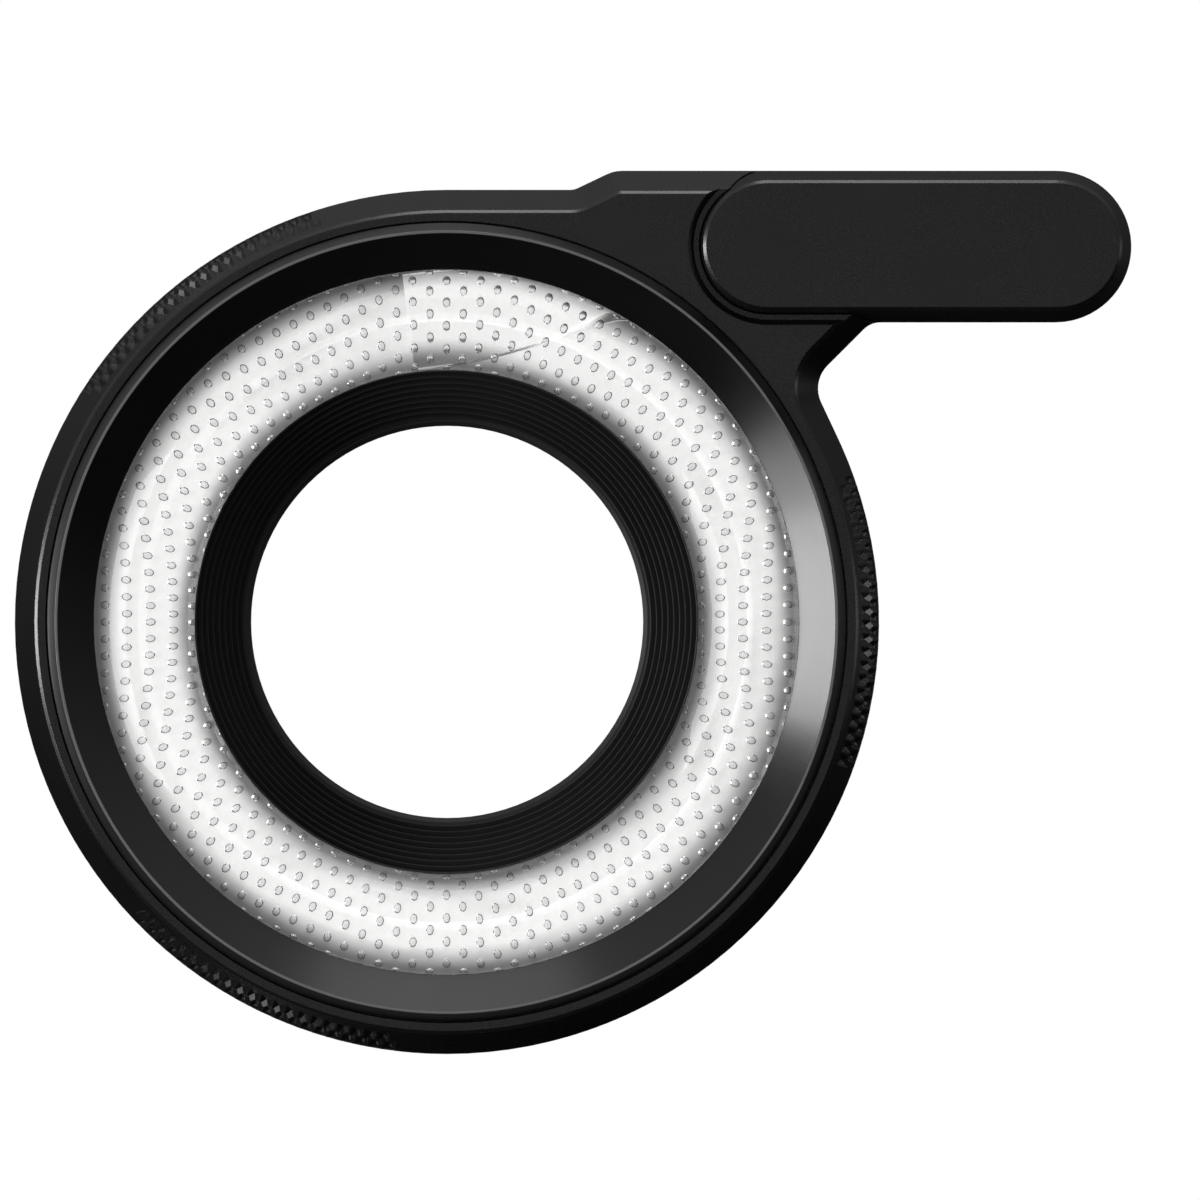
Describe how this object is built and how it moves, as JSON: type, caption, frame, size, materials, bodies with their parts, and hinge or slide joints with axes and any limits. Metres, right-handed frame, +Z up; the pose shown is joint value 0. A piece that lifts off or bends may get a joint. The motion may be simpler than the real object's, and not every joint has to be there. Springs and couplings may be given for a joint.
{
  "type": "led light guide",
  "caption": "Ring light guide for a compact camera: a domed clear ring in a black bezel, lit through an arm whose pod covers the camera's own lamp, on a lug bayonet.",
  "frame": {"origin": "on the optical axis, in the plane of the rear face that seats on the camera", "axes": "+Y along the optical axis towards the camera, so the front faces -Y; +X to the right seen from the front, along the arm; +Z up"},
  "size_m": [0.062, 0.01, 0.0491],
  "materials": {
    "housing_plastic": "fine satin moulded black",
    "trim_plastic": "smooth semi-gloss black",
    "clear_acrylic": "clear polished acrylic",
    "reflector_white": "bright white reflective moulding",
    "baffle_plastic": "dead matt black, stepped",
    "bayonet_plastic": "glass-filled black, slightly worn",
    "screw_steel": "black-plated steel",
    "gasket_rubber": "closed-cell foam rubber"
  },
  "bodies": {
    "root": {"front_housing": "housing_plastic", "rear_housing": "housing_plastic", "pod_cover": "housing_plastic", "bezel_ring": "trim_plastic", "light_guide": "clear_acrylic", "intake_window": "clear_acrylic", "reflector_tray": "reflector_white", "prism_reflector": "reflector_white", "baffle_ring": "baffle_plastic", "bayonet_ring": "bayonet_plastic", "bayonet_screws": "screw_steel", "housing_screws": "screw_steel", "intake_gasket": "gasket_rubber"}
  },
  "joints": []
}
